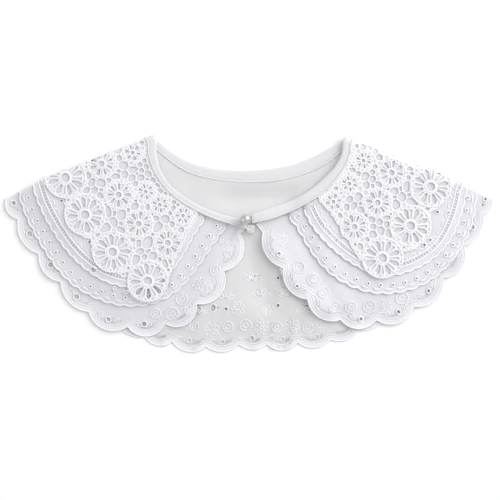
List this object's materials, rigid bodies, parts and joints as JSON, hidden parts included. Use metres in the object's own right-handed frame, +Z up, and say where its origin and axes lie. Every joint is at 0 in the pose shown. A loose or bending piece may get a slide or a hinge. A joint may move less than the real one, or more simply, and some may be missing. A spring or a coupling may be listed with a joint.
{
  "type": "lace collar",
  "caption": "Detachable tiered lace and eyelet collar laid flat, folded at both shoulders, with a bound neck and a ball button in a thread loop.",
  "frame": {"origin": "centre of the collar's box, on the surface it lies on", "axes": "+X to the right across the shoulders, +Y towards the back of the neck, +Z up from the surface"},
  "size_m": [0.4485, 0.2006, 0.0222],
  "materials": {
    "cotton": "white cotton lawn with broderie anglaise, matt",
    "lace": "white guipure lace of thick stitched cords, soft sheen",
    "binding": "white bias binding, matt, stitched along its seam",
    "pearl": "imitation pearl, glossy",
    "thread": "ecru thread loop"
  },
  "bodies": {
    "root": {"base_back": "cotton", "back_tiers": "cotton", "base_front_left": "cotton", "base_front_right": "cotton", "crescent_front_left": "cotton", "crescent_front_right": "cotton", "ladder_front_left": "cotton", "ladder_front_right": "cotton", "lace_front_left": "lace", "lace_front_right": "lace", "neck_band_left": "binding", "neck_band_right": "binding", "neck_band_back": "binding", "pearl_button": "pearl", "button_loop": "thread"}
  },
  "joints": []
}
